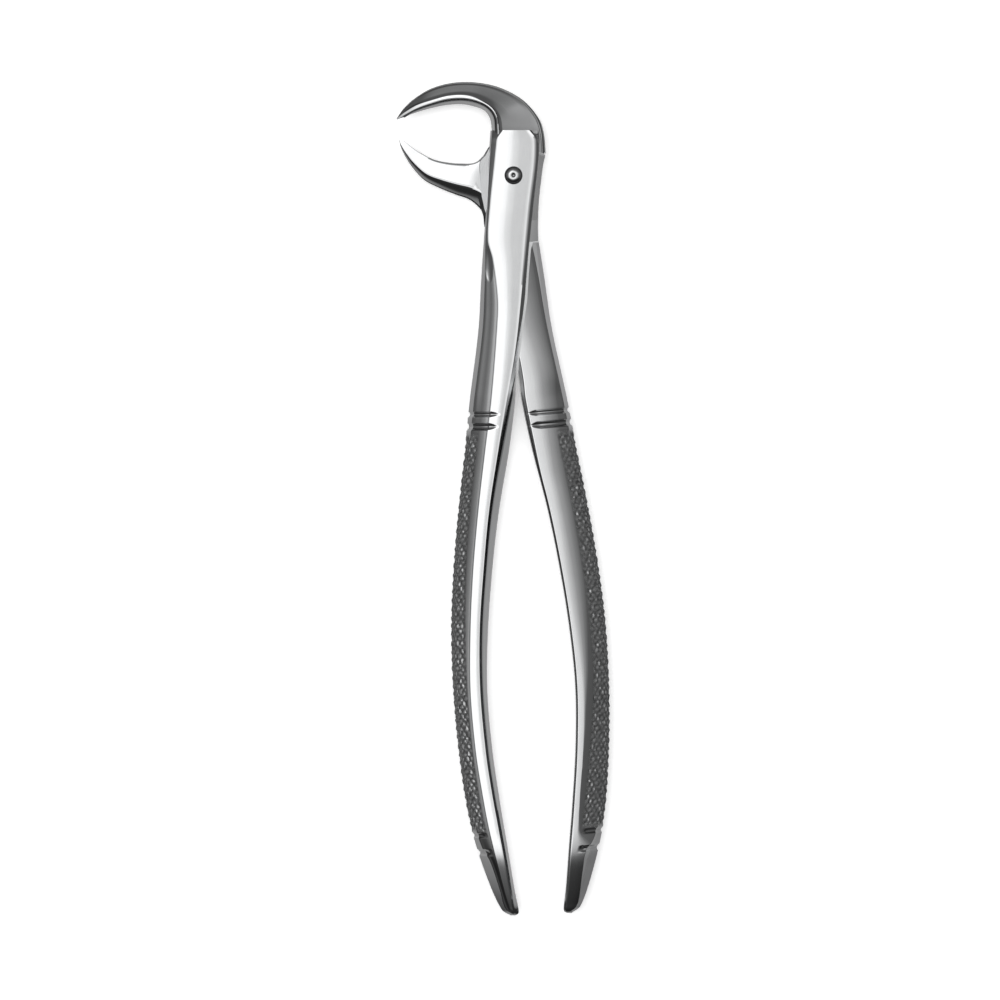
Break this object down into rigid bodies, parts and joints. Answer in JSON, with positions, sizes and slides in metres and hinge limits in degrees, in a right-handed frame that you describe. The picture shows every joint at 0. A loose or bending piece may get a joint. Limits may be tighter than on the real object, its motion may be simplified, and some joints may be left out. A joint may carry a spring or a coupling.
{
  "type": "dental extraction forceps",
  "caption": "Extraction forceps for lower molars with hooked pointed beaks turned sideways, a riveted lap joint and long bowed handles with knurled grips.",
  "frame": {"origin": "on the hinge axis, at the flat underside of the joint that the forceps lie on", "axes": "+Z along the hinge axis away from the surface below, +Y along the handles towards the joint, and the beaks point to -X"},
  "size_m": [0.0436, 0.1701, 0.0106],
  "materials": {
    "polished_steel": "mirror-polished stainless steel, with knurled grips left darker",
    "pin_steel": "polished stainless steel rivet"
  },
  "bodies": {
    "back_half": {"back_half": "polished_steel", "joint_pin": "pin_steel"},
    "front_half": {"front_half": "polished_steel"}
  },
  "joints": [
    {"name": "joint_hinge", "type": "hinge", "parent": "back_half", "child": "front_half", "pos_m": [0, 0, 0.0048], "axis": [0, 0, -1], "range_deg": [-0.4, 28]}
  ]
}
